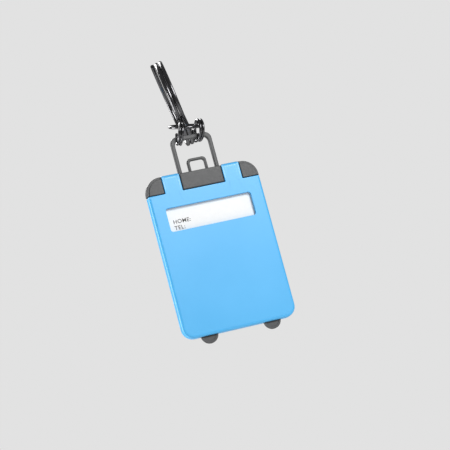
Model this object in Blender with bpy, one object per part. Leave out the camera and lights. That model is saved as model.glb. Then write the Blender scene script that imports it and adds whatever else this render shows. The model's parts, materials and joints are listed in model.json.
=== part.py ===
"""Luggage tag shaped like a small trolley case, hanging on a split ring.

A blue two-part sleeve slides over a grey tray that holds the address card.  The tray's handle
hangs on two small double rings, which hook into one link ring on the big split ring.
Metres, +Z up, front face towards -Y, origin at the inner top of the split ring.
"""

import math

import bmesh
import bpy
from mathutils import Matrix, Vector

MM = 0.001
GAP = 0.3 * MM

# The tag's own frame: X from its middle, Y back from its front face, Z up from its lower edge.
BODY_WIDTH = 52 * MM
THICKNESS = 4.6 * MM
SHOULDER_Z = 64.5 * MM
TOP_Z = 72.8 * MM
BOTTOM_RADIUS = 5 * MM
TOP_RADIUS = 7 * MM
WALL = 1.2 * MM
SLEEVE_ROUND = 0.6 * MM
SHOULDER_ROUND = 0.8 * MM
SEAM_Y = 2.4 * MM
SHARP_ANGLE = math.radians(45)

STRAP_INNER = 9.9 * MM
STRAP_OUTER = 18.0 * MM
STRAP_ROUND = 1.0 * MM
LIP_DEPTH = 1.5 * MM
LIP_HEIGHT = 1.2 * MM

WINDOW_HALF_WIDTH = 19.8 * MM
WINDOW_LOW = 47.3 * MM
WINDOW_HIGH = 58.0 * MM
WINDOW_RADIUS = 2 * MM

TRAY_FRONT = WALL + GAP
TRAY_BACK = THICKNESS - WALL - GAP
TRAY_HALF_WIDTH = BODY_WIDTH / 2 - WALL - GAP
FLOOR_FRONT = 2.3 * MM
RAIL = 1.9 * MM
LOWER_RAIL_TOP = 4.5 * MM
CAP_FRONT = LIP_DEPTH + GAP
CAP_TOP = 72.5 * MM
CORNER_RIM_FRONT = 0.7 * MM
CORNER_RIM = 1.0 * MM
CAP_ROUND = 0.5 * MM
PAD_ROUND = 0.25 * MM
RECESS_RADIUS = 1.0 * MM
TONGUE_HALF_WIDTH = 8.5 * MM
TONGUE_TOP = 69.5 * MM
TONGUE_FRONT = 1.9 * MM
TONGUE_BACK = 2.9 * MM

CARD_FRONT = 1.7 * MM
CARD_THICKNESS = 0.28 * MM
CARD_TOP = 63.4 * MM
CARD_RADIUS = 1.0 * MM

WHEEL_X = 14.5 * MM
WHEEL_Z = 0.4 * MM
WHEEL_RADIUS = 3.9 * MM
WHEEL_ROUND = 0.25 * MM
WHEEL_STEPS = 22
TENON_HALF_WIDTH = 1.2 * MM
TENON_TOP = 3.0 * MM
SLOT_RELIEF = 0.1 * MM

BLOCK_HALF_WIDTH = STRAP_INNER - GAP
BLOCK_TOP = 72.3 * MM
BLOCK_RADIUS = 0.6 * MM
BLOCK_ROUND = 0.4 * MM
HANDLE_ROOT = BLOCK_TOP - 1.5 * MM
HANDLE_SILL = BLOCK_TOP - 0.5 * MM
FRAME_HALF_WIDTH = 9.5 * MM
FRAME_TOP = 88.9 * MM
FRAME_BAR = 1.9 * MM
FRAME_LEG = 1.7 * MM
FRAME_FRONT = 1.3 * MM
FRAME_BACK = 3.3 * MM
FRAME_RADIUS = 3.0 * MM
LOOP_HALF_WIDTH = 4.5 * MM
LOOP_TOP = 78.3 * MM
LOOP_BAR = 1.2 * MM
LOOP_FRONT = 1.5 * MM
LOOP_BACK = 3.1 * MM
LOOP_RADIUS = 1.8 * MM
FOOT_HEIGHT = 0.6 * MM
FOOT_SPREAD = 0.5 * MM

# Rings: the radius is that of the wire's centre line, and the pitch is from turn to turn.
BAR_RING_RADII = (4.7 * MM, 4.6 * MM)
BAR_RING_WIRE = 1.2 * MM
BAR_RING_PITCH = 1.3 * MM
BAR_RING_TURNS = 1.9
BAR_RING_START = math.radians(70)
BAR_RING_YAWS = (math.radians(-8), math.radians(5))
BAR_RING_FOOT_X = (-4.6 * MM, 4.4 * MM)
BAR_BELOW_CENTRES = (2.4 * MM, 2.4 * MM)
HOOK_ABOVE_CENTRES = (2.9 * MM, 1.7 * MM)

LINK_RADIUS = 7.2 * MM
LINK_WIRE = 1.4 * MM
LINK_X = 0.9 * MM
LINK_TILT = math.radians(20)
LINK_TURNS = 0.985
LINK_START = math.radians(5)
HOOK_ANGLE = math.radians(34)
LINK_SEAT = 0.9 * MM

SPLIT_RADIUS = 19.4 * MM
SPLIT_WIRE = 1.8 * MM
SPLIT_PITCH = 1.95 * MM
SPLIT_TURNS = 2.5
SPLIT_YAW = math.radians(-17)
SPLIT_LEAN = math.radians(-9)
SPLIT_ENTRY = math.radians(40)
SPLIT_START = math.radians(-10)
SPLIT_STEPS = 44
SMALL_RING_STEPS = 22

STEEL = (0.045, 0.045, 0.05)
GREY = (0.125, 0.125, 0.128)
BLUE = (0.125, 0.46, 0.92)
PAPER = (0.9, 0.9, 0.88)


def clear_scene():
    """Removes every object that the open file holds."""
    for obj in list(bpy.data.objects):
        bpy.data.objects.remove(obj, do_unlink=True)


def make_collection(name):
    """Adds a collection to the scene."""
    collection = bpy.data.collections.new(name)
    bpy.context.scene.collection.children.link(collection)
    return collection


def make_material(name, colour, roughness, metallic):
    """A Principled material of one colour."""
    material = bpy.data.materials.new(name)
    material.use_nodes = True
    shader = material.node_tree.nodes["Principled BSDF"]
    shader.inputs["Base Color"].default_value = (*colour, 1)
    shader.inputs["Roughness"].default_value = roughness
    shader.inputs["Metallic"].default_value = metallic
    return material


def rounded(corners, steps=6):
    """An outline's points from its corners (x, z, radius), each radius as an arc."""
    points = []
    for index, (x, z, radius) in enumerate(corners):
        corner = Vector((x, z))
        if radius == 0:
            points.append(corner)
            continue
        before = (Vector(corners[index - 1][:2]) - corner).normalized()
        after = (Vector(corners[(index + 1) % len(corners)][:2]) - corner).normalized()
        half_angle = before.angle(after) / 2
        centre = corner + (before + after).normalized() * radius / math.sin(half_angle)
        start = corner + before * radius / math.tan(half_angle) - centre
        end = corner + after * radius / math.tan(half_angle) - centre
        sweep = start.angle_signed(end)
        for step in range(steps + 1):
            points.append(centre + Matrix.Rotation(-sweep * step / steps, 2) @ start)
    return points


def box_corners(x_low, x_high, z_low, z_high, lower_radius=0, upper_radius=0):
    """A rectangle's corners for rounded()."""
    return [
        (x_low, z_low, lower_radius),
        (x_high, z_low, lower_radius),
        (x_high, z_high, upper_radius),
        (x_low, z_high, upper_radius),
    ]


def soften(mesh, y_face, amount, segments=3):
    """Rounds the edges that bound the flat face at y_face."""
    work = bmesh.new()
    work.from_mesh(mesh)
    edges = []
    for edge in work.edges:
        on_face = all(abs(vertex.co.y - y_face) < GAP / 100 for vertex in edge.verts)
        if on_face and edge.calc_face_angle(0) > SHARP_ANGLE:
            edges.append(edge)
    bmesh.ops.bevel(
        work, geom=edges, offset=amount, segments=segments, profile=0.5, affect="EDGES", clamp_overlap=True
    )
    work.to_mesh(mesh)
    work.free()


def plate(name, outlines, y_front, y_back, round_front=0, round_back=0, segments=3):
    """A flat plate from outlines in XZ, the first its edge and the rest its holes."""
    curve = bpy.data.curves.new(name, "CURVE")
    curve.dimensions = "2D"
    curve.fill_mode = "BOTH"
    curve.extrude = (y_back - y_front) / 2
    for outline in outlines:
        spline = curve.splines.new("POLY")
        spline.points.add(len(outline) - 1)
        for point, place in zip(spline.points, outline):
            point.co = (place.x, place.y, 0, 1)
        spline.use_cyclic_u = True
    drawn = bpy.data.objects.new(name + "_outline", curve)
    drawn.rotation_euler = (math.pi / 2, 0, 0)
    drawn.location = (0, (y_front + y_back) / 2, 0)
    parts.objects.link(drawn)
    bpy.context.view_layer.update()
    evaluated = drawn.evaluated_get(bpy.context.evaluated_depsgraph_get())
    mesh = bpy.data.meshes.new_from_object(evaluated)
    mesh.transform(drawn.matrix_world)
    mesh.name = name
    bpy.data.objects.remove(drawn)
    bpy.data.curves.remove(curve)
    work = bmesh.new()
    work.from_mesh(mesh)
    bmesh.ops.remove_doubles(work, verts=work.verts, dist=GAP / 100)
    bmesh.ops.dissolve_limit(work, angle_limit=math.radians(1), verts=work.verts, edges=work.edges)
    bmesh.ops.recalc_face_normals(work, faces=work.faces)
    work.to_mesh(mesh)
    work.free()
    if round_front:
        soften(mesh, y_front, round_front, segments)
    if round_back:
        soften(mesh, y_back, round_back, segments)
    return mesh


def add_piece(name, mesh, material, body):
    """A named piece of the tag, made in the tag's own frame and carried by its body's empty."""
    piece = bpy.data.objects.new(name, mesh)
    mesh.materials.clear()
    mesh.materials.append(material)
    parts.objects.link(piece)
    piece.parent = body
    piece.location = TAG_PLACE - body.matrix_world.translation
    return piece


def add_cutter(name, mesh, target, operation="DIFFERENCE"):
    """Cuts or joins a piece with a hidden mesh in the same frame."""
    cutter = bpy.data.objects.new(name, mesh)
    cutter.hide_render = True
    cutter.display_type = "WIRE"
    cutters.objects.link(cutter)
    cutter.parent = target.parent
    cutter.location = target.location
    boolean = target.modifiers.new(name, "BOOLEAN")
    boolean.operation = operation
    boolean.solver = "EXACT"
    boolean.object = cutter


def add_body(name, place, parent=None):
    """An empty on a joint's axis, which carries that body's pieces."""
    empty = bpy.data.objects.new(name, None)
    empty.empty_display_size = 5 * MM
    parts.objects.link(empty)
    empty.parent = parent
    empty.location = place - (parent.matrix_world.translation if parent else Vector())
    bpy.context.view_layer.update()
    return empty


def add_coil(name, radius, wire, pitch, turns, first_angle, steps_per_turn, axes, centre, body):
    """A wire wound in turns round axes[0], from first_angle, with axes[2] as its top."""
    steps = round(turns * steps_per_turn)
    curve = bpy.data.curves.new(name, "CURVE")
    curve.dimensions = "3D"
    curve.bevel_depth = wire / 2
    curve.bevel_resolution = 2
    curve.use_fill_caps = True
    spline = curve.splines.new("POLY")
    spline.points.add(steps)
    for step, point in enumerate(spline.points):
        turn = turns * step / steps
        angle = first_angle + 2 * math.pi * turn
        along = axes[0] * pitch * (turn - turns / 2)
        across = axes[1] * radius * math.sin(angle)
        up = axes[2] * radius * math.cos(angle)
        point.co = (*(along + across + up), 1)
    curve.materials.append(steel)
    coil = bpy.data.objects.new(name, curve)
    parts.objects.link(coil)
    coil.parent = body
    coil.location = centre - body.matrix_world.translation
    return coil


def ring_axes(top, level):
    """A ring's normal, its level direction and its top direction."""
    normal = level.cross(top).normalized()
    return normal, top.cross(normal), top


def cut_sleeve(shell, y_front, y_back):
    """Opens a shell's tray space and the two slots that the wheels stand in."""
    inner = BODY_WIDTH / 2 - WALL
    radius = BOTTOM_RADIUS - WALL
    space = rounded(box_corners(-inner, inner, WALL, TOP_Z - LIP_HEIGHT, radius, 0))
    add_cutter(shell.name + "_space", plate("space", [space], y_front, y_back), shell)
    half_slot = WHEEL_RADIUS + GAP
    for side, x in (("left", -WHEEL_X), ("right", WHEEL_X)):
        slot = rounded(box_corners(x - half_slot, x + half_slot, -WALL, 2 * WALL))
        mesh = plate("slot", [slot], WALL - SLOT_RELIEF, THICKNESS - WALL + SLOT_RELIEF)
        add_cutter(f"{shell.name}_slot_{side}", mesh, shell)


def make_sleeve_front(body):
    """The blue front shell: window, rounded rim and two straps with a small lip at their tops."""
    half = BODY_WIDTH / 2
    corners = [
        (-half, 0, BOTTOM_RADIUS),
        (half, 0, BOTTOM_RADIUS),
        (half, SHOULDER_Z, SHOULDER_ROUND),
        (STRAP_OUTER, SHOULDER_Z, 0),
        (STRAP_OUTER, TOP_Z, STRAP_ROUND),
        (STRAP_INNER, TOP_Z, STRAP_ROUND),
        (STRAP_INNER, SHOULDER_Z, 0),
    ]
    corners += [(-x, z, radius) for x, z, radius in reversed(corners[2:])]
    mesh = plate("sleeve_front", [rounded(corners)], 0, SEAM_Y, round_front=SLEEVE_ROUND)
    shell = add_piece("sleeve_front", mesh, blue, body)
    cut_sleeve(shell, WALL, THICKNESS)
    lip_space = rounded(box_corners(-half, half, TOP_Z - 2 * LIP_HEIGHT, TOP_Z + LIP_HEIGHT))
    add_cutter("strap_lip_space", plate("lip_space", [lip_space], LIP_DEPTH, THICKNESS), shell)
    window = rounded(
        box_corners(
            -WINDOW_HALF_WIDTH, WINDOW_HALF_WIDTH, WINDOW_LOW, WINDOW_HIGH, WINDOW_RADIUS, WINDOW_RADIUS
        )
    )
    add_cutter("window", plate("window", [window], -WALL, 2 * WALL), shell)


def make_sleeve_back(body):
    """The blue back shell, plain and flat, which closes the sleeve."""
    half = BODY_WIDTH / 2
    corners = box_corners(-half, half, 0, SHOULDER_Z, BOTTOM_RADIUS, SHOULDER_ROUND)
    mesh = plate("sleeve_back", [rounded(corners)], SEAM_Y + GAP, THICKNESS, round_back=SLEEVE_ROUND)
    shell = add_piece("sleeve_back", mesh, blue, body)
    cut_sleeve(shell, -WALL, THICKNESS - WALL)


def make_tray(body):
    """The grey tray: card recess, lower rail, two upper corners and the handle's tongue."""
    half = TRAY_HALF_WIDTH
    low = WALL + GAP
    overlap = SHOULDER_Z + 3 * WALL
    outline = rounded(box_corners(-half, half, low, overlap, BOTTOM_RADIUS - low, 0))
    tray = add_piece("slider_tray", plate("slider_tray", [outline], TRAY_FRONT, TRAY_BACK), grey, body)
    recess = rounded(box_corners(RAIL - half, half - RAIL, LOWER_RAIL_TOP, TOP_Z, RECESS_RADIUS, 0))
    add_cutter("card_recess", plate("recess", [recess], 0, FLOOR_FRONT), tray)
    cap_low = SHOULDER_Z + GAP
    edge = BODY_WIDTH / 2
    for side, sign in (("left", -1), ("right", 1)):
        cap = [
            (STRAP_INNER, cap_low, 0),
            (edge, cap_low, 0),
            (edge, CAP_TOP, TOP_RADIUS),
            (STRAP_INNER, CAP_TOP, 0),
        ]
        rim = [
            (STRAP_OUTER + GAP, cap_low, 0),
            (edge, cap_low, 0),
            (edge, CAP_TOP, TOP_RADIUS),
            (STRAP_OUTER + GAP, CAP_TOP, 0),
        ]
        pad = [
            (STRAP_OUTER + GAP, cap_low, 0),
            (edge - CORNER_RIM, cap_low, 0),
            (edge - CORNER_RIM, CAP_TOP - CORNER_RIM, TOP_RADIUS - CORNER_RIM),
            (STRAP_OUTER + GAP, CAP_TOP - CORNER_RIM, 0),
        ]
        layers = (
            ("cap", cap, CAP_FRONT, THICKNESS, 0, CAP_ROUND),
            ("rim", rim, CORNER_RIM_FRONT, FLOOR_FRONT, PAD_ROUND, 0),
            ("pad", pad, 0, WALL, PAD_ROUND, 0),
        )
        for layer, corners, front, back, round_front, round_back in layers:
            outline = rounded([(sign * x, z, radius) for x, z, radius in corners][::sign])
            mesh = plate(layer, [outline], front, back, round_front, round_back, segments=2)
            add_cutter(f"tray_{layer}_{side}", mesh, tray, "UNION")
    seat = rounded(box_corners(-STRAP_INNER, STRAP_INNER, SHOULDER_Z, TOP_Z))
    add_cutter("handle_seat", plate("seat", [seat], -WALL, 2 * THICKNESS), tray)
    tongue = rounded(
        box_corners(-TONGUE_HALF_WIDTH, TONGUE_HALF_WIDTH, SHOULDER_Z - WALL / 2, TONGUE_TOP)
    )
    add_cutter("tongue", plate("tongue", [tongue], TONGUE_FRONT, TONGUE_BACK), tray, "UNION")
    notch_half = TENON_HALF_WIDTH + GAP
    for side, x in (("left", -WHEEL_X), ("right", WHEEL_X)):
        notch = rounded(box_corners(x - notch_half, x + notch_half, 0, TENON_TOP + GAP))
        add_cutter(f"wheel_notch_{side}", plate("notch", [notch], 0, THICKNESS), tray)


def make_card(body):
    """The paper address card, which lies in the tray's recess."""
    half = TRAY_HALF_WIDTH - RAIL - GAP
    low = LOWER_RAIL_TOP + GAP
    outline = rounded(box_corners(-half, half, low, CARD_TOP, CARD_RADIUS, CARD_RADIUS))
    mesh = plate("address_card", [outline], CARD_FRONT, CARD_FRONT + CARD_THICKNESS)
    add_piece("address_card", mesh, paper, body)


def make_wheels(body):
    """Two small discs, cut flat on top, each with a tenon pressed into the tray's lower rail."""
    flat = math.asin((WALL - WHEEL_Z) / WHEEL_RADIUS)
    for side, x in (("left", -WHEEL_X), ("right", WHEEL_X)):
        outline = [Vector((x + TENON_HALF_WIDTH, TENON_TOP)), Vector((x - TENON_HALF_WIDTH, TENON_TOP))]
        outline.append(Vector((x - TENON_HALF_WIDTH, WALL)))
        for step in range(WHEEL_STEPS + 1):
            angle = math.pi - flat + (math.pi + 2 * flat) * step / WHEEL_STEPS
            arm = Vector((math.cos(angle), math.sin(angle))) * WHEEL_RADIUS
            outline.append(Vector((x, WHEEL_Z)) + arm)
        outline.append(Vector((x + TENON_HALF_WIDTH, WALL)))
        mesh = plate("wheel", [outline], TRAY_FRONT, TRAY_BACK, WHEEL_ROUND, WHEEL_ROUND, 2)
        add_piece(f"wheel_{side}", mesh, grey, body)


def make_handle(body):
    """One moulding: the block that grips the tray's tongue, the trolley frame and the carry loop."""
    half = BLOCK_HALF_WIDTH
    block = rounded(box_corners(-half, half, SHOULDER_Z + GAP, BLOCK_TOP, 0, BLOCK_RADIUS))
    mesh = plate("pull_handle", [block], 0, THICKNESS, BLOCK_ROUND, BLOCK_ROUND)
    handle = add_piece("pull_handle", mesh, grey, body)
    shapes = (
        ("frame", FRAME_HALF_WIDTH, FRAME_TOP, FRAME_LEG, FRAME_BAR, FRAME_FRONT, FRAME_BACK, FRAME_RADIUS),
        ("loop", LOOP_HALF_WIDTH, LOOP_TOP, LOOP_BAR, LOOP_BAR, LOOP_FRONT, LOOP_BACK, LOOP_RADIUS),
    )
    for name, width, top, leg, bar, front, back, radius in shapes:
        outer = rounded(box_corners(-width, width, HANDLE_ROOT, top, 0, radius))
        inner = rounded(box_corners(leg - width, width - leg, HANDLE_SILL, top - bar, 0, radius / 2))
        mesh = plate(name, [outer, inner], front, back, BLOCK_ROUND, BLOCK_ROUND, 2)
        add_cutter(f"handle_{name}", mesh, handle, "UNION")
        foot_top = BLOCK_TOP + FOOT_HEIGHT
        for side, sign in (("left", -1), ("right", 1)):
            middle = sign * (width - leg / 2)
            reach = leg / 2 + FOOT_SPREAD
            low, high = max(middle - reach, -half), min(middle + reach, half)
            foot = rounded(box_corners(low, high, HANDLE_ROOT, foot_top, 0, FOOT_HEIGHT / 2), steps=2)
            mesh = plate("foot", [foot], front - FOOT_SPREAD, back + FOOT_SPREAD)
            add_cutter(f"{name}_foot_{side}", mesh, handle, "UNION")
    slot_half = TONGUE_HALF_WIDTH + GAP
    slot = rounded(box_corners(-slot_half, slot_half, SHOULDER_Z - WALL, TONGUE_TOP + GAP))
    add_cutter("tongue_slot", plate("slot", [slot], TONGUE_FRONT - GAP, TONGUE_BACK + GAP), handle)


clear_scene()
parts = make_collection("luggage_tag")
cutters = make_collection("luggage_tag_cutters")
blue = make_material("sleeve_blue", BLUE, 0.45, 0)
grey = make_material("trim_grey", GREY, 0.6, 0)
paper = make_material("card_paper", PAPER, 0.8, 0)
steel = make_material("ring_steel", STEEL, 0.2, 1)

# The handle's bar hangs in the two small rings, whose tops hook the link ring's front arc.
BAR_MIDDLE = Vector((0, (FRAME_FRONT + FRAME_BACK) / 2, FRAME_TOP - FRAME_BAR / 2))
HOOK_SPAN = LINK_RADIUS * math.sin(HOOK_ANGLE)
hook_xs = (LINK_X - HOOK_SPAN, LINK_X + HOOK_SPAN)
bar_rings = []
for index, side in enumerate(("left", "right")):
    yaw, foot_x = BAR_RING_YAWS[index], BAR_RING_FOOT_X[index]
    below, above = BAR_BELOW_CENTRES[index], HOOK_ABOVE_CENTRES[index]
    lean = math.asin((hook_xs[index] - foot_x) / (below + above))
    top = Vector((math.sin(lean), 0, math.cos(lean)))
    level = Vector((-math.sin(yaw), math.cos(yaw), 0))
    level = (level - top * level.dot(top)).normalized()
    middle = Vector((foot_x, BAR_MIDDLE.y, BAR_MIDDLE.z)) + top * below
    bar_rings.append((side, ring_axes(top, level), middle, middle + top * above))
left_hook, right_hook = bar_rings[0][3], bar_rings[1][3]
hook = (left_hook + right_hook) / 2

# The link ring lies tilted, its front arc low, and the split ring passes up through its middle.
link_level = (left_hook - right_hook).normalized()
link_top = Vector((0, math.cos(LINK_TILT), math.sin(LINK_TILT)))
link_top = (link_top - link_level * link_top.dot(link_level)).normalized()
link_axes = ring_axes(link_top, link_level)
link_middle = hook + link_top * LINK_RADIUS * math.cos(HOOK_ANGLE)
split_top = Vector((math.sin(SPLIT_LEAN), 0, math.cos(SPLIT_LEAN)))
split_level = Vector((-math.sin(SPLIT_YAW), math.cos(SPLIT_YAW), 0))
split_top = (split_top - split_level * split_top.dot(split_level)).normalized()
split_axes = ring_axes(split_top, split_level)
entry = split_level * math.sin(SPLIT_ENTRY) + split_top * math.cos(SPLIT_ENTRY)
link_seat = link_middle + link_top * LINK_SEAT
split_middle = link_seat + entry * SPLIT_RADIUS
hang_point = split_middle + split_top * (SPLIT_RADIUS - SPLIT_WIRE / 2)
TAG_PLACE = -hang_point

ring_body = add_body("ring_body", Vector())
link_body = add_body("link_body", link_seat - hang_point, ring_body)
left_body = add_body("left_ring_body", hook - hang_point, link_body)
right_body = add_body("right_ring_body", hook - hang_point, link_body)
tray_body = add_body("tray_body", BAR_MIDDLE - hang_point, left_body)
sleeve_body = add_body("sleeve_body", TAG_PLACE, tray_body)

add_coil(
    "split_ring",
    SPLIT_RADIUS,
    SPLIT_WIRE,
    SPLIT_PITCH,
    SPLIT_TURNS,
    SPLIT_START,
    SPLIT_STEPS,
    split_axes,
    split_middle - hang_point,
    ring_body,
)
add_coil(
    "link_ring",
    LINK_RADIUS,
    LINK_WIRE,
    0,
    LINK_TURNS,
    LINK_START,
    SMALL_RING_STEPS,
    link_axes,
    link_middle - hang_point,
    link_body,
)
for (side, axes, middle, _), radius, body in zip(bar_rings, BAR_RING_RADII, (left_body, right_body)):
    add_coil(
        f"bar_ring_{side}",
        radius,
        BAR_RING_WIRE,
        BAR_RING_PITCH,
        BAR_RING_TURNS,
        BAR_RING_START,
        SMALL_RING_STEPS,
        axes,
        middle - hang_point,
        body,
    )
make_sleeve_front(sleeve_body)
make_sleeve_back(sleeve_body)
make_tray(tray_body)
make_card(tray_body)
make_wheels(tray_body)
make_handle(tray_body)
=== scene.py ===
"""Looks of a luggage tag shaped like a small trolley case, hanging from its split ring."""

import json
import math

import bmesh
import bpy
import numpy as np
from mathutils import Matrix, Vector


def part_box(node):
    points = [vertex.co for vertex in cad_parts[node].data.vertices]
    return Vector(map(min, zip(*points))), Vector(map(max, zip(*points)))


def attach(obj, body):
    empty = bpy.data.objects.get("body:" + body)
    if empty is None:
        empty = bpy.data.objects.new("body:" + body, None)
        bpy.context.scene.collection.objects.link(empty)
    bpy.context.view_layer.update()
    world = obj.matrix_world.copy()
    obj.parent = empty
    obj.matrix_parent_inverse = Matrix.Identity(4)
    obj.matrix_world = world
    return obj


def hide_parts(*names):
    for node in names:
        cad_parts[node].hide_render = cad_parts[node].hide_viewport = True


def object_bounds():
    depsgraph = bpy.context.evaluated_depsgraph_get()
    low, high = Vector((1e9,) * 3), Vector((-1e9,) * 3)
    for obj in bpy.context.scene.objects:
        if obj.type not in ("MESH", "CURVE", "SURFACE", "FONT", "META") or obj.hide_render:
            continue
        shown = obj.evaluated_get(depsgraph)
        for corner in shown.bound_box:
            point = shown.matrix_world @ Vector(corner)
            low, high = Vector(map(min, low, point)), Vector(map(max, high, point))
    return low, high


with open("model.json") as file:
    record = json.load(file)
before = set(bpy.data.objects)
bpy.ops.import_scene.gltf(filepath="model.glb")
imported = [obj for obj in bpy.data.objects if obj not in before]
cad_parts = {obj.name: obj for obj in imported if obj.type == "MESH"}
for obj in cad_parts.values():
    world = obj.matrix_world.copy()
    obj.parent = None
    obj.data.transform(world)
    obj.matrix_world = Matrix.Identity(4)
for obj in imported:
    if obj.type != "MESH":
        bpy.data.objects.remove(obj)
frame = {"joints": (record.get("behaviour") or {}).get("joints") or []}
cad_box = [list(corner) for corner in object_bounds()]

MM = 0.001
scene = bpy.context.scene

# ---------------------------------------------------------------------------------------------
# Camera.  A long lens stands a little to the left of the tag and below its middle, looking up.
# The camera is rolled, so that the tag leans to the left as it does against a curved handle.
# ---------------------------------------------------------------------------------------------

sleeve_low, sleeve_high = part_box("sleeve_front")
tag_origin = np.array([(sleeve_low.x + sleeve_high.x) / 2, sleeve_low.y, sleeve_low.z])

CAMERA_AIM = np.array([1.8, -8.7, 43.9]) * MM
CAMERA_DISTANCE = 709.6 * MM
CAMERA_BEARING = math.radians(17.07)
CAMERA_RISE = math.radians(10.11)
CAMERA_ROLL = math.radians(-15.1)
LENS = 131.4

looking = Vector((
    math.sin(CAMERA_BEARING) * math.cos(CAMERA_RISE),
    math.cos(CAMERA_BEARING) * math.cos(CAMERA_RISE),
    math.sin(CAMERA_RISE),
))
camera_data = bpy.data.cameras.new("camera")
camera_data.lens = LENS
camera_data.clip_start = 0.01
camera = bpy.data.objects.new("camera", camera_data)
scene.collection.objects.link(camera)
level = looking.to_track_quat("-Z", "Y").to_matrix().to_4x4()
camera.matrix_world = (
    Matrix.Translation(Vector(tag_origin + CAMERA_AIM) - looking * CAMERA_DISTANCE)
    @ level
    @ Matrix.Rotation(CAMERA_ROLL, 4, "Z")
)
scene.camera = camera

# ---------------------------------------------------------------------------------------------
# Stage.  The tag hangs in front of a pale backdrop, above a plain pale floor, in dim even light.
# A large soft lamp stands high on the right, one at the left and one behind give light edges.
# ---------------------------------------------------------------------------------------------

FLOOR_DROP = 0.17
FLOOR_SIZE = 12
PALE = (0.8, 0.8, 0.8, 1)
FLOOR_ROUGHNESS = 0.9
ROOM_LIGHT = 0.24
BACKDROP_LIGHT = 0.95
FLOOR_GLOW = (0.4, 0.4, 0.4, 1)

floor_mesh = bpy.data.meshes.new("floor")
floor_z = cad_box[0][2] - FLOOR_DROP
quarters = ((-1, -1), (1, -1), (1, 1), (-1, 1))
floor_corners = [(x * FLOOR_SIZE, y * FLOOR_SIZE, floor_z) for x, y in quarters]
floor_mesh.from_pydata(floor_corners, [], [(0, 1, 2, 3)])
floor = bpy.data.objects.new("floor", floor_mesh)
scene.collection.objects.link(floor)
floor_paint = bpy.data.materials.new("floor_paint")
floor_paint.use_nodes = True
paint = floor_paint.node_tree.nodes["Principled BSDF"]
paint.inputs["Base Color"].default_value = PALE
paint.inputs["Roughness"].default_value = FLOOR_ROUGHNESS
paint.inputs["Emission Color"].default_value = FLOOR_GLOW
floor_path = floor_paint.node_tree.nodes.new("ShaderNodeLightPath")
floor_paint.node_tree.links.new(floor_path.outputs["Is Camera Ray"], paint.inputs["Emission Strength"])
floor_mesh.materials.append(floor_paint)

world = bpy.data.worlds.new("surround")
world.use_nodes = True
background = world.node_tree.nodes["Background"]
background.inputs["Color"].default_value = PALE
strength = world.node_tree.nodes.new("ShaderNodeMapRange")
strength.inputs["To Min"].default_value = ROOM_LIGHT
strength.inputs["To Max"].default_value = BACKDROP_LIGHT
light_path = world.node_tree.nodes.new("ShaderNodeLightPath")
world.node_tree.links.new(light_path.outputs["Is Camera Ray"], strength.inputs["Value"])
world.node_tree.links.new(strength.outputs["Result"], background.inputs["Strength"])
scene.world = world
scene.view_settings.view_transform = "Standard"

# Each lamp: name, place from the tag's middle, width and power.
LAMPS = (
    ("key_lamp", (0.26, -0.7, 0.37), 0.32, 5.7),
    ("side_lamp", (-0.6, 0.24, 0.02), 0.3, 4.0),
    ("back_lamp", (-0.1, 0.5, 0.45), 0.3, 3.0),
)
tag_middle = Vector(tag_origin + CAMERA_AIM)
for name, place, size, power in LAMPS:
    lamp_data = bpy.data.lights.new(name, "AREA")
    lamp_data.size = size
    lamp_data.energy = power
    lamp = bpy.data.objects.new(name, lamp_data)
    lamp.location = tag_middle + Vector(place)
    lamp.rotation_euler = (-Vector(place)).to_track_quat("-Z", "Y").to_euler()
    scene.collection.objects.link(lamp)

# ---------------------------------------------------------------------------------------------
# Split ring.  A hard spring-steel wire, its sides slightly flattened, is wound in two and a half
# turns that lie side by side.  Its ends have a small chamfer, and it is plated black nickel.
# ---------------------------------------------------------------------------------------------

MERGE = 0.002 * MM
SHARP = math.radians(32)

SPLIT_RADIUS = 19.4 * MM
SPLIT_WIRE = 1.8 * MM
SPLIT_PITCH = 1.95 * MM
SPLIT_TURNS = 2.5
SPLIT_YAW = math.radians(-17)
SPLIT_LEAN = math.radians(-9)
SPLIT_ENTRY = math.radians(40)
SPLIT_START = math.radians(-10)
SPLIT_SQUARENESS = 2.5
ROUND_WIRE = 2
WIRE_SIDES = 24
TURN_STEPS = 150
END_CHAMFER = 0.2
END_WIDTH = 0.75

joint_place = {joint["name"]: Vector(joint.get("pos_m", (0, 0, 0))) for joint in frame["joints"]}


def surface(name, grid, material, body, closed_rows=False):
    """A finished piece from a grid of points: rows of rings, each ring joined to the next.

    The columns always close on themselves, and closed_rows also joins the last row to the first.
    """
    rows, columns, _ = grid.shape
    index = np.arange(rows * columns).reshape(rows, columns)
    if closed_rows:
        index = np.vstack([index, index[:1]])
    beside = np.roll(index, -1, axis=1)
    quads = np.stack([index[:-1], beside[:-1], beside[1:], index[1:]], axis=-1).reshape(-1, 4)
    mesh = bpy.data.meshes.new(name)
    mesh.from_pydata(grid.reshape(-1, 3).tolist(), [], quads.tolist())
    work = bmesh.new()
    work.from_mesh(mesh)
    bmesh.ops.remove_doubles(work, verts=work.verts, dist=MERGE)
    bmesh.ops.recalc_face_normals(work, faces=work.faces)
    work.to_mesh(mesh)
    work.free()
    mesh.polygons.foreach_set("use_smooth", np.ones(len(mesh.polygons), dtype=bool))
    mesh.set_sharp_from_angle(angle=SHARP)
    mesh.materials.append(material)
    piece = bpy.data.objects.new(name, mesh)
    scene.collection.objects.link(piece)
    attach(piece, body)
    return piece


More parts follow.
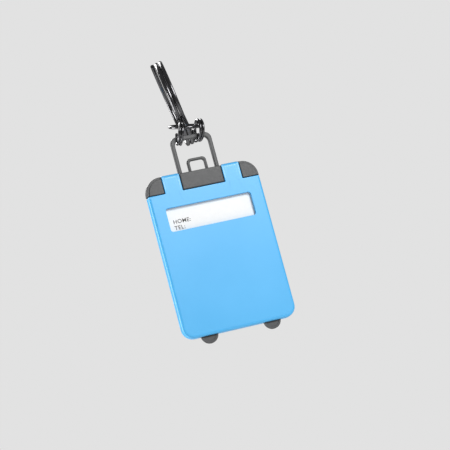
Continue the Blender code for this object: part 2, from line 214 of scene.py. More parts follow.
def coil_grid(radius, wire, pitch, turns, start, axes, centre, squareness):
    """Points of a wire wound round axes[0], with axes[2] as its top.

    The path is a helix: angle and advance both grow with the turn.  The section is a
    superellipse, |u|^p + |v|^p = 1 with p = squareness, laid out along the radius and the axis.
    The end rows shrink to a chamfer and then to a point in the flat end.
    """
    normal, level_way, top = (np.array(axis) for axis in axes)
    chamfer = END_CHAMFER * wire / (2 * math.pi * radius)
    turn = np.linspace(0, turns, round(TURN_STEPS * turns * math.sqrt(radius / SPLIT_RADIUS)) + 1)
    turn = np.concatenate([[0, 0], [chamfer], turn[1:-1], [turns - chamfer], [turns, turns]])
    swell = np.ones(len(turn))
    swell[[0, -1]] = 0
    swell[[1, -2]] = END_WIDTH
    angle = start + 2 * math.pi * turn
    outward = np.outer(np.sin(angle), level_way) + np.outer(np.cos(angle), top)
    path = np.array(centre) + radius * outward + np.outer(pitch * (turn - turns / 2), normal)
    around = np.linspace(0, 2 * math.pi, WIRE_SIDES, endpoint=False)
    u = np.sign(np.cos(around)) * np.abs(np.cos(around)) ** (2 / squareness)
    v = np.sign(np.sin(around)) * np.abs(np.sin(around)) ** (2 / squareness)
    section = u[None, :, None] * outward[:, None] + v[None, :, None] * normal
    return path[:, None] + section * (wire / 2 * swell)[:, None, None]


def ring_axes(top, level_way):
    """A ring's normal, its level direction and its top direction."""
    normal = level_way.cross(top).normalized()
    return normal, top.cross(normal), top


def node_in(tree, kind, **inputs):
    """A node with its unlinked inputs filled in."""
    node = tree.nodes.new(kind)
    for key, value in inputs.items():
        node.inputs[key.replace("_", " ")].default_value = value
    return node


def principled(name, **inputs):
    """A node material, its tree and its shader, with the shader's constant inputs set."""
    material = bpy.data.materials.new(name)
    material.use_nodes = True
    tree = material.node_tree
    shader = tree.nodes["Principled BSDF"]
    for key, value in inputs.items():
        shader.inputs[key.replace("_", " ")].default_value = value
    return material, tree, shader


def noise_ramp(tree, coordinates, scale, detail, low, high):
    """Noise of that scale, spread from low to high."""
    noise = node_in(tree, "ShaderNodeTexNoise", Scale=scale, Detail=detail)
    tree.links.new(coordinates, noise.inputs["Vector"])
    spread = node_in(tree, "ShaderNodeMapRange", From_Min=0.3, From_Max=0.7, To_Min=low, To_Max=high)
    tree.links.new(noise.outputs["Fac"], spread.inputs["Value"])
    return spread.outputs["Result"]


def tint(tree, factor, dark, light, socket):
    """A colour between dark and light, by factor, into a shader's socket."""
    mix = tree.nodes.new("ShaderNodeMix")
    mix.data_type = "RGBA"
    mix.inputs["A"].default_value = (*dark, 1)
    mix.inputs["B"].default_value = (*light, 1)
    tree.links.new(factor, mix.inputs["Factor"])
    tree.links.new(mix.outputs["Result"], socket)


def bump(tree, height, shader, strength, depth):
    """A small relief from height on the shader's normal."""
    relief = node_in(tree, "ShaderNodeBump", Strength=strength, Distance=depth)
    tree.links.new(height, relief.inputs["Height"])
    tree.links.new(relief.outputs["Normal"], shader.inputs["Normal"])


black_nickel, tree, shader = principled("black_nickel", Metallic=1.0)
place = tree.nodes.new("ShaderNodeTexCoord").outputs["Object"]
clouding = noise_ramp(tree, place, 240, 3, 0, 1)
tint(tree, clouding, (0.09, 0.09, 0.094), (0.14, 0.14, 0.146), shader.inputs["Base Color"])
tree.links.new(noise_ramp(tree, place, 500, 2, 0.15, 0.22), shader.inputs["Roughness"])
bump(tree, noise_ramp(tree, place, 1800, 2, 0, 1), shader, 0.08, 0.003 * MM)

split_top = Vector((math.sin(SPLIT_LEAN), 0, math.cos(SPLIT_LEAN)))
split_level = Vector((-math.sin(SPLIT_YAW), math.cos(SPLIT_YAW), 0))
split_top = (split_top - split_level * split_top.dot(split_level)).normalized()
entry = split_level * math.sin(SPLIT_ENTRY) + split_top * math.cos(SPLIT_ENTRY)
split_grid = coil_grid(
    SPLIT_RADIUS,
    SPLIT_WIRE,
    SPLIT_PITCH,
    SPLIT_TURNS,
    SPLIT_START,
    ring_axes(split_top, split_level),
    joint_place["link_swing"] + entry * SPLIT_RADIUS,
    SPLIT_SQUARENESS,
)
split_ring = surface("split_ring_wire", split_grid, black_nickel, "split_ring")
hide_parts("split_ring")

# ---------------------------------------------------------------------------------------------
# Small rings.  Two double rings of round spring wire, wound just under two turns, hold the
# handle's bar at their feet.  They grip the front arc of the link ring, one turn of round wire
# bent until its ends meet, which lies nearly level and hooks on the split ring.
# ---------------------------------------------------------------------------------------------

LINK_RADIUS = 7.2 * MM
LINK_WIRE = 1.4 * MM
LINK_X = 0.9 * MM
LINK_TILT = math.radians(20)
LINK_TURNS = 0.985
LINK_START = math.radians(5)
HOOK_ANGLE = math.radians(34)

BAR_RING_WIRE = 1.2 * MM
BAR_RING_PITCH = 1.3 * MM
BAR_RING_TURNS = 1.9
BAR_RING_START = math.radians(70)
# Each small ring: side and its sign, radius, turn about the vertical, foot's place on the bar,
# how far its middle stands above the bar, and how far the link ring stands above its middle.
BAR_RINGS = (
    ("left", -1, 4.7 * MM, math.radians(-8), -4.6 * MM, 2.4 * MM, 2.9 * MM),
    ("right", 1, 4.6 * MM, math.radians(5), 4.4 * MM, 2.4 * MM, 1.7 * MM),
)

bar = joint_place["tag_swing"]
hooks = []
for side, sign, radius, yaw, foot_x, below, above in BAR_RINGS:
    hook_x = LINK_X + sign * LINK_RADIUS * math.sin(HOOK_ANGLE)
    lean = math.asin((hook_x - foot_x) / (below + above))
    top = Vector((math.sin(lean), 0, math.cos(lean)))
    level_way = Vector((-math.sin(yaw), math.cos(yaw), 0))
    level_way = (level_way - top * level_way.dot(top)).normalized()
    middle = Vector((tag_origin[0] + foot_x, bar.y, bar.z)) + top * below
    hooks.append(middle + top * above)
    grid = coil_grid(
        radius,
        BAR_RING_WIRE,
        BAR_RING_PITCH,
        BAR_RING_TURNS,
        BAR_RING_START,
        ring_axes(top, level_way),
        middle,
        ROUND_WIRE,
    )
    bar_ring = surface(f"bar_ring_{side}_wire", grid, black_nickel, f"{side}_bar_ring")
    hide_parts(f"bar_ring_{side}")

link_level = (hooks[0] - hooks[1]).normalized()
link_top = Vector((0, math.cos(LINK_TILT), math.sin(LINK_TILT)))
link_top = (link_top - link_level * link_top.dot(link_level)).normalized()
link_middle = (hooks[0] + hooks[1]) / 2 + link_top * LINK_RADIUS * math.cos(HOOK_ANGLE)
link_grid = coil_grid(
    LINK_RADIUS,
    LINK_WIRE,
    0,
    LINK_TURNS,
    LINK_START,
    ring_axes(link_top, link_level),
    link_middle,
    ROUND_WIRE,
)
link_ring = surface("link_ring_wire", link_grid, black_nickel, "link_ring")
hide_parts("link_ring")

# ---------------------------------------------------------------------------------------------
# Pull handle.  One grey moulding: a block between the sleeve's straps, a tall trolley frame and
# a small carry loop, with flared feet where the bars leave the block.
# ---------------------------------------------------------------------------------------------

THICKNESS = 4.6 * MM
SHOULDER_Z = 64.5 * MM
GAP = 0.3 * MM
BLOCK_HALF_WIDTH = 9.6 * MM
BLOCK_TOP = 72.3 * MM
BLOCK_ROUND = 0.45 * MM
BLOCK_LOW_RADIUS = 0.2 * MM
BLOCK_TOP_RADIUS = 0.5 * MM
FRAME_HALF_WIDTH = 9.5 * MM
FRAME_TOP = 88.9 * MM
FRAME_BAR = 1.9 * MM
FRAME_LEG = 1.7 * MM
FRAME_DEPTHS = (1.3 * MM, 3.3 * MM)
FRAME_RADIUS = 3.0 * MM
LOOP_HALF_WIDTH = 4.5 * MM
LOOP_TOP = 78.3 * MM
LOOP_BAR = 1.2 * MM
LOOP_DEPTHS = (1.5 * MM, 3.1 * MM)
LOOP_RADIUS = 1.8 * MM
BAR_ROUND = 0.45 * MM
FOOT_HEIGHT = 0.75 * MM
FOOT_SPREAD = 0.45 * MM
ARC_STEPS = 9


def outline(corners, inset=0.0):
    """Points (x, z) round a closed outline of rounded corners (x, z, radius), anticlockwise.

    Each corner moves along its mitre, the sum of its two inward edge normals over one plus their
    dot product, by the inset.  Its arc turns the incoming normal through the corner's angle.
    """
    x, z, radius = np.array(corners, float).T
    place = np.stack([x, z], axis=1)
    way = np.roll(place, -1, axis=0) - place
    way /= np.linalg.norm(way, axis=1, keepdims=True)
    inward = np.stack([-way[:, 1], way[:, 0]], axis=1)
    before = np.roll(inward, 1, axis=0)
    dot = (before * inward).sum(axis=1)
    turn = np.arctan2(before[:, 0] * inward[:, 1] - before[:, 1] * inward[:, 0], dot)
    side = np.where(turn < 0, -1, 1)
    mitre = (before + inward) / (1 + dot)[:, None]
    radius = np.maximum(radius - side * inset, 0)
    centre = place + mitre * (inset + side * radius)[:, None]
    sweep = turn[:, None] * np.linspace(0, 1, ARC_STEPS)
    arm_x = before[:, :1] * np.cos(sweep) - before[:, 1:] * np.sin(sweep)
    arm_z = before[:, :1] * np.sin(sweep) + before[:, 1:] * np.cos(sweep)
    reach = (side * radius)[:, None]
    return np.stack([centre[:, :1] - reach * arm_x, centre[:, 1:] - reach * arm_z], axis=2).reshape(-1, 2)


def ring(corners, inset, depth):
    """One row of points: the outline shrunk by inset, at that depth behind the front face."""
    flat = outline(corners, inset)
    return np.column_stack([flat[:, 0], np.broadcast_to(depth, len(flat)), flat[:, 1]])


def pole(row):
    """A row of the same length, all its points in the row's middle, which closes a face."""
    low, high = row.min(axis=0), row.max(axis=0)
    return np.broadcast_to((low + high) / 2, row.shape)


def edge_round(radius):
    """Insets and drops of a quarter circle, from just inside the flat face out to the edge."""
    bend = np.linspace(0, math.pi / 2, 6)
    insets = np.append(1.2 * radius, radius * (1 - np.sin(bend)))
    drops = np.append(0, radius * (1 - np.cos(bend)))
    return insets, drops


def plate_grid(corners, front, back, rounding):
    """Rows of a flat plate: front pole, rounded front edge, rounded back edge, back pole."""
    insets, drops = edge_round(rounding)
    rows = [ring(corners, inset, front + drop) for inset, drop in zip(insets, drops)]
    rows += [ring(corners, inset, back - drop) for inset, drop in zip(insets[::-1], drops[::-1])]
    return np.stack([pole(rows[0]), *rows, pole(rows[-1])])


def hoop_grid(outer, inner, front, back, rounding):
    """Rows round the section of a flat hoop: outer edge front to back, then the hole back to front."""
    insets, drops = edge_round(rounding)
    rows = [ring(outer, inset, front + drop) for inset, drop in zip(insets, drops)]
    rows += [ring(outer, inset, back - drop) for inset, drop in zip(insets[::-1], drops[::-1])]
    rows += [ring(inner, -inset, back - drop) for inset, drop in zip(insets, drops)]
    rows += [ring(inner, -inset, front + drop) for inset, drop in zip(insets[::-1], drops[::-1])]
    return np.stack(rows)


def upright(x_low, x_high, z_low, z_high, low_radius, high_radius):
    """The four corners of an upright rectangle."""
    return [
        (x_low, z_low, low_radius),
        (x_high, z_low, low_radius),
        (x_high, z_high, high_radius),
        (x_low, z_high, high_radius),
    ]


def moulded_grain():
    """A node group: the uneven gloss and the spark-eroded grain of a moulded plastic skin.

    Patch is broad, soft unevenness, Speckle fine grain, and Normal the grain's relief.
    """
    group = bpy.data.node_groups.new("moulded_grain", "ShaderNodeTree")
    sockets = group.interface
    sockets.new_socket("Place", in_out="INPUT", socket_type="NodeSocketVector")
    sockets.new_socket("Grain Scale", in_out="INPUT", socket_type="NodeSocketFloat")
    sockets.new_socket("Relief", in_out="INPUT", socket_type="NodeSocketFloat")
    sockets.new_socket("Patch", in_out="OUTPUT", socket_type="NodeSocketFloat")
    sockets.new_socket("Speckle", in_out="OUTPUT", socket_type="NodeSocketFloat")
    sockets.new_socket("Normal", in_out="OUTPUT", socket_type="NodeSocketVector")
    given = group.nodes.new("NodeGroupInput").outputs
    made = group.nodes.new("NodeGroupOutput").inputs
    group.links.new(noise_ramp(group, given["Place"], 38, 3, 0, 1), made["Patch"])
    speckle = group.nodes.new("ShaderNodeTexNoise")
    speckle.inputs["Detail"].default_value = 3
    group.links.new(given["Place"], speckle.inputs["Vector"])
    group.links.new(given["Grain Scale"], speckle.inputs["Scale"])
    group.links.new(speckle.outputs["Fac"], made["Speckle"])
    relief = node_in(group, "ShaderNodeBump", Distance=0.02 * MM)
    group.links.new(given["Relief"], relief.inputs["Strength"])
    group.links.new(speckle.outputs["Fac"], relief.inputs["Height"])
    group.links.new(relief.outputs["Normal"], made["Normal"])
    return group


def moulded_plastic(name, dark, light, gloss, grain_scale, relief, **inputs):
    """A plastic whose colour drifts from dark to light and whose roughness follows its grain."""
    material, tree, shader = principled(name, **inputs)
    skin = tree.nodes.new("ShaderNodeGroup")
    skin.node_tree = grain
    skin.inputs["Grain Scale"].default_value = grain_scale
    skin.inputs["Relief"].default_value = relief
    tree.links.new(tree.nodes.new("ShaderNodeTexCoord").outputs["Object"], skin.inputs["Place"])
    tint(tree, skin.outputs["Patch"], dark, light, shader.inputs["Base Color"])
    low, high = gloss
    rough = node_in(tree, "ShaderNodeMapRange", From_Min=0.3, From_Max=0.7, To_Min=low, To_Max=high)
    tree.links.new(skin.outputs["Speckle"], rough.inputs["Value"])
    tree.links.new(rough.outputs["Result"], shader.inputs["Roughness"])
    tree.links.new(skin.outputs["Normal"], shader.inputs["Normal"])
    return material


grain = moulded_grain()
grey_plastic = moulded_plastic(
    "grey_plastic", (0.06, 0.061, 0.063), (0.076, 0.077, 0.079), (0.42, 0.58), 2600, 0.5
)


def grey_piece(name, grid, closed_rows=False):
    """A grey moulded piece in the tag's own frame, carried by the tray."""
    return surface(name, grid + tag_origin, grey_plastic, "tray", closed_rows)


block_half, block_low = BLOCK_HALF_WIDTH, SHOULDER_Z + GAP
block_corners = upright(-block_half, block_half, block_low, BLOCK_TOP, BLOCK_LOW_RADIUS, BLOCK_TOP_RADIUS)
block = grey_piece("handle_block", plate_grid(block_corners, 0, THICKNESS, BLOCK_ROUND))
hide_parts("pull_handle")

for name, half, top, leg, bar_height, depths, radius in (
    ("trolley_frame", FRAME_HALF_WIDTH, FRAME_TOP, FRAME_LEG, FRAME_BAR, FRAME_DEPTHS, FRAME_RADIUS),
    ("carry_loop", LOOP_HALF_WIDTH, LOOP_TOP, LOOP_BAR, LOOP_BAR, LOOP_DEPTHS, LOOP_RADIUS),
):
    root = BLOCK_TOP - 2 * BAR_ROUND
    outer = upright(-half, half, root - leg, top, BAR_ROUND, radius)
    inner = upright(leg - half, half - leg, root, top - bar_height, BAR_ROUND, radius - leg / 2)
    grey_piece(name, hoop_grid(outer, inner, *depths, BAR_ROUND), closed_rows=True)
    for side, sign in (("left", -1), ("right", 1)):
        leg_middle = sign * (half - leg / 2)
        low_x = max(leg_middle - leg / 2, FOOT_SPREAD - BLOCK_HALF_WIDTH)
        high_x = min(leg_middle + leg / 2, BLOCK_HALF_WIDTH - FOOT_SPREAD)
        leg_section = upright(low_x, high_x, *depths, BAR_ROUND, BAR_ROUND)
        flare = np.linspace(0, math.pi / 2, 7)
        spreads = FOOT_SPREAD * (1 - np.sin(flare))
        heights = BLOCK_TOP + FOOT_HEIGHT * (1 - np.cos(flare))
        rows = [ring(leg_section, -spread, height) for spread, height in zip(spreads, heights)]
        rows = [ring(leg_section, -FOOT_SPREAD, root), *rows]
        foot_grid = np.stack([pole(rows[0]), *rows, pole(rows[-1])])[..., [0, 2, 1]]
        grey_piece(f"{name}_foot_{side}", foot_grid)

# ---------------------------------------------------------------------------------------------
# Slider tray.  A thin grey pan with raised rails round a recess for the card.  Its two upper
# corners stand out to the sleeve's full thickness, as a low rim with a raised pad inside it.
# ---------------------------------------------------------------------------------------------

BODY_WIDTH = 52 * MM
WALL = 1.2 * MM
TRAY_HALF_WIDTH = BODY_WIDTH / 2 - WALL - GAP
TRAY_LOW = WALL + GAP
TRAY_FRONT = WALL + GAP
TRAY_BACK = THICKNESS - WALL - GAP
TRAY_FLOOR = 2.3 * MM
TRAY_TOP = 67.5 * MM
TRAY_RADIUS = 3.5 * MM
RAIL = 1.9 * MM
LOWER_RAIL_TOP = 4.5 * MM
RECESS_RADIUS = 1 * MM
TONGUE_HALF_WIDTH = 8.5 * MM
TONGUE_TOP = 69.5 * MM
TONGUE_RADIUS = 0.5 * MM
CORNER_RADIUS = 7 * MM
CAP_TOP = 72.5 * MM
CAP_INNER = 9.9 * MM
CAP_FRONT = 1.8 * MM
STRAP_OUTER = 18.0 * MM
RIM_FRONT = 0.7 * MM
RIM_WIDTH = 1.1 * MM
PAD_ROUND = 0.25 * MM
CAP_ROUND = 0.5 * MM
PAN_CHAMFER = 0.2 * MM
RAIL_CHAMFER = 0.15 * MM
FLOOR_STEP = 0.1 * MM
CREASE = 0.01 * MM


def per_edge(values, blended=False):
    """One value for each outline point, from one value for each edge that leaves a corner.

    Along a corner's arc the value changes from the edge before to the edge after, evenly if
    blended, or all at once in the arc's middle.
    """
    after = np.array(values, float)[:, None]
    before = np.roll(after, 1, axis=0)
    part = np.linspace(0, 1, ARC_STEPS)
    if not blended:
        part = np.round(part)
    return (before + (after - before) * part).ravel()


pan_outer = [
    (-TRAY_HALF_WIDTH, TRAY_LOW, TRAY_RADIUS),
    (TRAY_HALF_WIDTH, TRAY_LOW, TRAY_RADIUS),
    (TRAY_HALF_WIDTH, TRAY_TOP, 0),
    (TONGUE_HALF_WIDTH, TRAY_TOP, 0),
    (TONGUE_HALF_WIDTH, TONGUE_TOP, TONGUE_RADIUS),
    (-TONGUE_HALF_WIDTH, TONGUE_TOP, TONGUE_RADIUS),
    (-TONGUE_HALF_WIDTH, TRAY_TOP, 0),
    (-TRAY_HALF_WIDTH, TRAY_TOP, 0),
]
pan_recess = [
    (RAIL - TRAY_HALF_WIDTH, LOWER_RAIL_TOP, RECESS_RADIUS),
    (TRAY_HALF_WIDTH - RAIL, LOWER_RAIL_TOP, RECESS_RADIUS),
    (TRAY_HALF_WIDTH - RAIL, TRAY_TOP, 0),
    *pan_outer[3:7],
    (RAIL - TRAY_HALF_WIDTH, TRAY_TOP, 0),
]
rail_front = per_edge([TRAY_FRONT, TRAY_FRONT] + [TRAY_FLOOR] * 5 + [TRAY_FRONT])
pan_rows = [
    ring(pan_outer, PAN_CHAMFER, TRAY_BACK),
    ring(pan_outer, 0, TRAY_BACK - PAN_CHAMFER),
    ring(pan_outer, 0, rail_front + CREASE),
    ring(pan_outer, RAIL_CHAMFER, rail_front),
    ring(pan_recess, 0, rail_front),
    ring(pan_recess, 0, TRAY_FLOOR),
    ring(pan_recess, FLOOR_STEP, TRAY_FLOOR),
]
pan = grey_piece("tray_pan", np.stack([pole(pan_rows[0]), *pan_rows, pole(pan_rows[-1])]))
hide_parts("slider_tray")

for side, sign in (("left", -1), ("right", 1)):
    low_z = SHOULDER_Z + GAP
    edge_x = BODY_WIDTH / 2
    step_x = STRAP_OUTER + GAP
    shapes = [
        [
            (inner_x, low_z, 0),
            (edge_x - trim, low_z, 0),
            (edge_x - trim, CAP_TOP - trim, CORNER_RADIUS - trim),
            (inner_x, CAP_TOP - trim, 0),
        ]
        for inner_x, trim in ((CAP_INNER, 0), (step_x, 0), (step_x, RIM_WIDTH))
    ]
    cap, rim, pad = [[(sign * x, z, radius) for x, z, radius in shape][::sign] for shape in shapes]
    insets, drops = edge_round(CAP_ROUND)
    rows = [ring(cap, inset, THICKNESS - drop) for inset, drop in zip(insets, drops)]
    rows += [ring(cap, 0, CAP_FRONT)]
    insets, drops = edge_round(PAD_ROUND)
    rows += [ring(rim, inset, RIM_FRONT + drop) for inset, drop in zip(insets[::-1], drops[::-1])]
    rows += [ring(pad, -CREASE, RIM_FRONT)]
    rows += [ring(pad, inset, drop) for inset, drop in zip(insets[::-1], drops[::-1])]
    grey_piece(f"tray_corner_{side}", np.stack([pole(rows[0]), *rows, pole(rows[-1])]))

# ---------------------------------------------------------------------------------------------
# Address card.  A slip of white card with a small printed form, laid in the tray's recess.
# The two upper labels show in the window, and the others when the sleeve is pulled down.
# ---------------------------------------------------------------------------------------------

CARD_FRONT = 1.7 * MM
CARD_THICKNESS = 0.28 * MM
CARD_TOP = 63.4 * MM
CARD_HALF_WIDTH = TRAY_HALF_WIDTH - RAIL - GAP
CARD_LOW = LOWER_RAIL_TOP + GAP
CARD_RADIUS = 1 * MM
CARD_ROUND = 0.04 * MM
LABELS = ("HOME:", "TEL:", "STREET:", "CITY:", "MAIL:")
LABEL_X = -17.5 * MM
LABEL_Z = 50.9 * MM
LABEL_PITCH = 2.75 * MM
LABEL_SIZE = 2.5 * MM
LABEL_SPACING = 1.1
LABEL_WEIGHT = 0.02 * MM
LABEL_CURVE_STEPS = 4
INK_THICKNESS = 0.04 * MM

card_stock, tree, shader = principled("card_stock", Specular_IOR_Level=0.2)
place = tree.nodes.new("ShaderNodeTexCoord").outputs["Object"]
fibres = noise_ramp(tree, place, 700, 4, 0, 1)
tint(tree, fibres, (0.91, 0.91, 0.905), (0.935, 0.935, 0.93), shader.inputs["Base Color"])
tree.links.new(noise_ramp(tree, place, 1500, 2, 0.75, 0.9), shader.inputs["Roughness"])
bump(tree, noise_ramp(tree, place, 3500, 3, 0, 1), shader, 0.12, 0.005 * MM)

printing_ink, tree, shader = principled("printing_ink")
place = tree.nodes.new("ShaderNodeTexCoord").outputs["Object"]
ink_cover = noise_ramp(tree, place, 3000, 2, 0, 1)
tint(tree, ink_cover, (0.03, 0.03, 0.03), (0.12, 0.11, 0.11), shader.inputs["Base Color"])
tree.links.new(noise_ramp(tree, place, 1500, 2, 0.5, 0.7), shader.inputs["Roughness"])

card_corners = upright(-CARD_HALF_WIDTH, CARD_HALF_WIDTH, CARD_LOW, CARD_TOP, CARD_RADIUS, CARD_RADIUS)
card_grid = plate_grid(card_corners, CARD_FRONT, CARD_FRONT + CARD_THICKNESS, CARD_ROUND) + tag_origin
card = surface("card_slip", card_grid, card_stock, "tray")
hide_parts("address_card")

text = bpy.data.curves.new("card_print", "FONT")
text.body = "\n".join(LABELS)
text.size = LABEL_SIZE
text.space_line = LABEL_PITCH / LABEL_SIZE
text.space_character = LABEL_SPACING
text.offset = LABEL_WEIGHT
text.extrude = INK_THICKNESS
text.resolution_u = LABEL_CURVE_STEPS
lettering = bpy.data.objects.new("card_print_outline", text)
scene.collection.objects.link(lettering)
bpy.context.view_layer.update()
written = lettering.evaluated_get(bpy.context.evaluated_depsgraph_get())
print_mesh = bpy.data.meshes.new_from_object(written)
bpy.data.objects.remove(lettering)
print_place = Vector(tag_origin) + Vector((LABEL_X, CARD_FRONT, LABEL_Z))
print_mesh.transform(Matrix.Translation(print_place) @ Matrix.Rotation(math.pi / 2, 4, "X"))
print_mesh.materials.clear()
print_mesh.materials.append(printing_ink)
card_print = bpy.data.objects.new("card_print", print_mesh)
scene.collection.objects.link(card_print)
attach(card_print, "tray")

# ---------------------------------------------------------------------------------------------
# Wheels.  Two thin grey discs with a raised rim, pressed into the tray's lower rail.
# Only their lower halves show, through the slots in the sleeve's lower edge.
# ---------------------------------------------------------------------------------------------

WHEEL_X = 14.5 * MM
WHEEL_Z = 0.4 * MM
WHEEL_RADIUS = 3.9 * MM
WHEEL_TOP = 2.2 * MM
WHEEL_DEPTHS = (1.6 * MM, 3.0 * MM)
WHEEL_TOP_RADIUS = 0.2 * MM
WHEEL_ROUND = 0.25 * MM
TYRE_WIDTH = 0.9 * MM
DISH = 0.35 * MM
DISH_EDGE = 0.1 * MM
DISH_FLAT = 0.3 * MM

for side, x in (("left", -WHEEL_X), ("right", WHEEL_X)):
    left_x, right_x, low_z = x - WHEEL_RADIUS, x + WHEEL_RADIUS, WHEEL_Z - WHEEL_RADIUS
    wheel_corners = upright(left_x, right_x, low_z, WHEEL_TOP, WHEEL_RADIUS, WHEEL_TOP_RADIUS)
    insets, drops = edge_round(WHEEL_ROUND)
    front, back = WHEEL_DEPTHS
    rows = [
        ring(wheel_corners, TYRE_WIDTH + DISH_FLAT, front + DISH),
        ring(wheel_corners, TYRE_WIDTH + DISH_EDGE, front + DISH),
        ring(wheel_corners, TYRE_WIDTH, front),
    ]
    rows += [ring(wheel_corners, inset, front + drop) for inset, drop in zip(insets, drops)]
    rows += [ring(wheel_corners, inset, back - drop) for inset, drop in zip(insets[::-1], drops[::-1])]
    wheel = grey_piece(f"wheel_disc_{side}", np.stack([pole(rows[0]), *rows, pole(rows[-1])]))
    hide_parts(f"wheel_{side}")

# ---------------------------------------------------------------------------------------------
# Sleeve, front shell.  Satin blue plastic: one moulding with rounded rims, slots for the wheels,
# a window with a low lip inside, and two straps that bend back over the tray's top edge.
# ---------------------------------------------------------------------------------------------

BOTTOM_RADIUS = 5 * MM
STRAP_INNER = 9.9 * MM
STRAP_TOP = 72.8 * MM
STRAP_ROUND = 0.9 * MM
STRAP_BEND = 1.15 * MM
STRAP_BAND = 1.6 * MM
STRAP_SLOPE = 0.2
LIP_HEIGHT = 1.2 * MM
LIP_DEPTH = 1.5 * MM
SEAM_Y = 2.4 * MM
RIM_ROUND = 1.15 * MM
NOTCH_ROUND = 0.25 * MM
NOTCH_FILLET = 0.4 * MM
SLOT_OUTER = WHEEL_X + WHEEL_RADIUS + GAP
SLOT_INNER = WHEEL_X - WHEEL_RADIUS - GAP
WINDOW_HALF_WIDTH = 19.8 * MM
WINDOW_LOW = 47.3 * MM
WINDOW_HIGH = 58.0 * MM
WINDOW_RADIUS = 1.2 * MM
WINDOW_ROUND = 0.12 * MM
WINDOW_LIP_WIDTH = 0.8 * MM
WINDOW_LIP_DEPTH = 1.4 * MM
WINDOW_LOW_X = 17.82 * MM
WINDOW_HIGH_XS = (17.2 * MM, 15.6 * MM, 12.0 * MM, 10.4 * MM)
SHOULDER_RADIUS = 0.5 * MM


def both_sides(right_half):
    """A symmetrical outline from its right half, which runs from the lower middle to the upper."""
    return right_half + [(-x, z, radius) for x, z, radius in reversed(right_half)]


def both_edges(right_half, top_edge):
    """One value for each edge of such an outline, the last right-half corner's edge being the top."""
    return right_half + [top_edge] + right_half[::-1]


half = BODY_WIDTH / 2
shell_edge = both_sides([
    (SLOT_INNER, 0, 0),
    (SLOT_OUTER, 0, 0),
    (half, 0, BOTTOM_RADIUS),
    (half, SHOULDER_Z, SHOULDER_RADIUS),
    (STRAP_OUTER, SHOULDER_Z, NOTCH_FILLET),
    (STRAP_OUTER, STRAP_TOP, STRAP_ROUND),
    (STRAP_INNER, STRAP_TOP, STRAP_ROUND),
    (STRAP_INNER, SHOULDER_Z, NOTCH_FILLET),
])
cavity_edge = both_sides([
    (SLOT_INNER, WALL, 0),
    (SLOT_OUTER, WALL, 0),
    (half - WALL, WALL, BOTTOM_RADIUS - WALL),
    (half - WALL, SHOULDER_Z, 0),
    (STRAP_OUTER, SHOULDER_Z, NOTCH_FILLET),
    (STRAP_OUTER, STRAP_TOP - LIP_HEIGHT, 0),
    (STRAP_INNER, STRAP_TOP - LIP_HEIGHT, 0),
    (STRAP_INNER, SHOULDER_Z, NOTCH_FILLET),
])
# The window has as many corners as the shell, and the spare ones lie along its straight edges.
window_edge = both_sides([
    (SLOT_INNER, WINDOW_LOW, 0),
    (WINDOW_LOW_X, WINDOW_LOW, 0),
    (WINDOW_HALF_WIDTH, WINDOW_LOW, WINDOW_RADIUS),
    (WINDOW_HALF_WIDTH, WINDOW_HIGH, WINDOW_RADIUS),
    *[(x, WINDOW_HIGH, 0) for x in WINDOW_HIGH_XS],
])
# The edges in turn: slot, bottom, side, shoulder, strap side, strap top, strap side, then notch.
half_rounds = [RIM_ROUND] * 3 + [NOTCH_ROUND] * 2 + [STRAP_BEND, NOTCH_ROUND]
front_round = per_edge(both_edges(half_rounds, NOTCH_ROUND) + [RIM_ROUND], blended=True)
front_wall = per_edge(both_edges([WALL, SEAM_Y, SEAM_Y, WALL, WALL, LIP_DEPTH, WALL], WALL) + [SEAM_Y])
strap_slope = per_edge(both_edges([0] * 5 + [STRAP_SLOPE, 0], 0) + [0], blended=True)
# Insets of the rows over a shell's rounded edge, closer together where the curve is steep.
RIM_INSETS = MM * np.array(
    [2.0, 1.7, 1.5, 1.3, 1.1, 0.9, 0.72, 0.55, 0.4, 0.28, 0.18, 0.1, 0.045, 0.012, 0]
)


def fall(inset, radius):
    """Depth of a rounded edge at that inset: a circle of that radius, flat once past it."""
    inside = np.clip(radius - inset, 0, None)
    return radius - np.sqrt(radius**2 - inside**2)


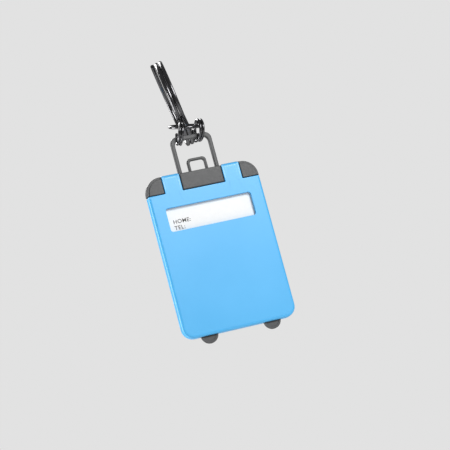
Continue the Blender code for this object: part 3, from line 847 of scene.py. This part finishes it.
blue_plastic = moulded_plastic(
    "blue_plastic", (0.075, 0.45, 0.85), (0.09, 0.475, 0.88), (0.31, 0.39), 2300, 0.35
)
window_insets, window_drops = edge_round(WINDOW_ROUND)
rows = [
    ring(window_edge, -WINDOW_LIP_WIDTH, WALL),
    ring(window_edge, -WINDOW_LIP_WIDTH, WINDOW_LIP_DEPTH),
    ring(window_edge, 0, WINDOW_LIP_DEPTH),
]
rows += [ring(window_edge, -inset, drop) for inset, drop in zip(window_insets[::-1], window_drops[::-1])]
rows += [
    ring(shell_edge, inset, fall(inset, front_round) + strap_slope * max(STRAP_BAND - inset, 0))
    for inset in RIM_INSETS
]
rows += [
    ring(shell_edge, 0, np.maximum(front_wall, front_round)),
    ring(cavity_edge, 0, np.maximum(front_wall, front_round)),
    ring(cavity_edge, 0, WALL),
]
front_grid = np.stack(rows) + tag_origin
sleeve_front = surface(
    "sleeve_shell_front", front_grid, blue_plastic, "sleeve", closed_rows=True
)
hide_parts("sleeve_front")

# ---------------------------------------------------------------------------------------------
# Sleeve, back shell.  A plain blue tray moulded to meet the front shell at a fine seam, with a
# straight upper edge and the other halves of the wheels' slots.
# ---------------------------------------------------------------------------------------------

SEAM_GAP = 0.12 * MM
FLOOR_INSET = 0.1 * MM

back_edge = both_sides(shell_edge[:3] + [(half, SHOULDER_Z, SHOULDER_RADIUS)])
back_cavity = both_sides(cavity_edge[:3] + [(half - WALL, SHOULDER_Z, 0)])
inner_back = THICKNESS - WALL
back_seam = SEAM_Y + SEAM_GAP
back_wall = per_edge(both_edges([inner_back, back_seam, back_seam], inner_back) + [back_seam])
back_round = per_edge(both_edges([RIM_ROUND] * 3, NOTCH_ROUND) + [RIM_ROUND], blended=True)
rows = [
    ring(back_cavity, FLOOR_INSET, inner_back),
    ring(back_cavity, 0, inner_back),
    ring(back_cavity, 0, back_wall),
    ring(back_edge, 0, back_wall),
]
rows += [ring(back_edge, inset, THICKNESS - fall(inset, back_round)) for inset in RIM_INSETS[::-1]]
back_grid = np.stack([pole(rows[0]), *rows, pole(rows[-1])]) + tag_origin
sleeve_back = surface("sleeve_shell_back", back_grid, blue_plastic, "sleeve")
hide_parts("sleeve_back")
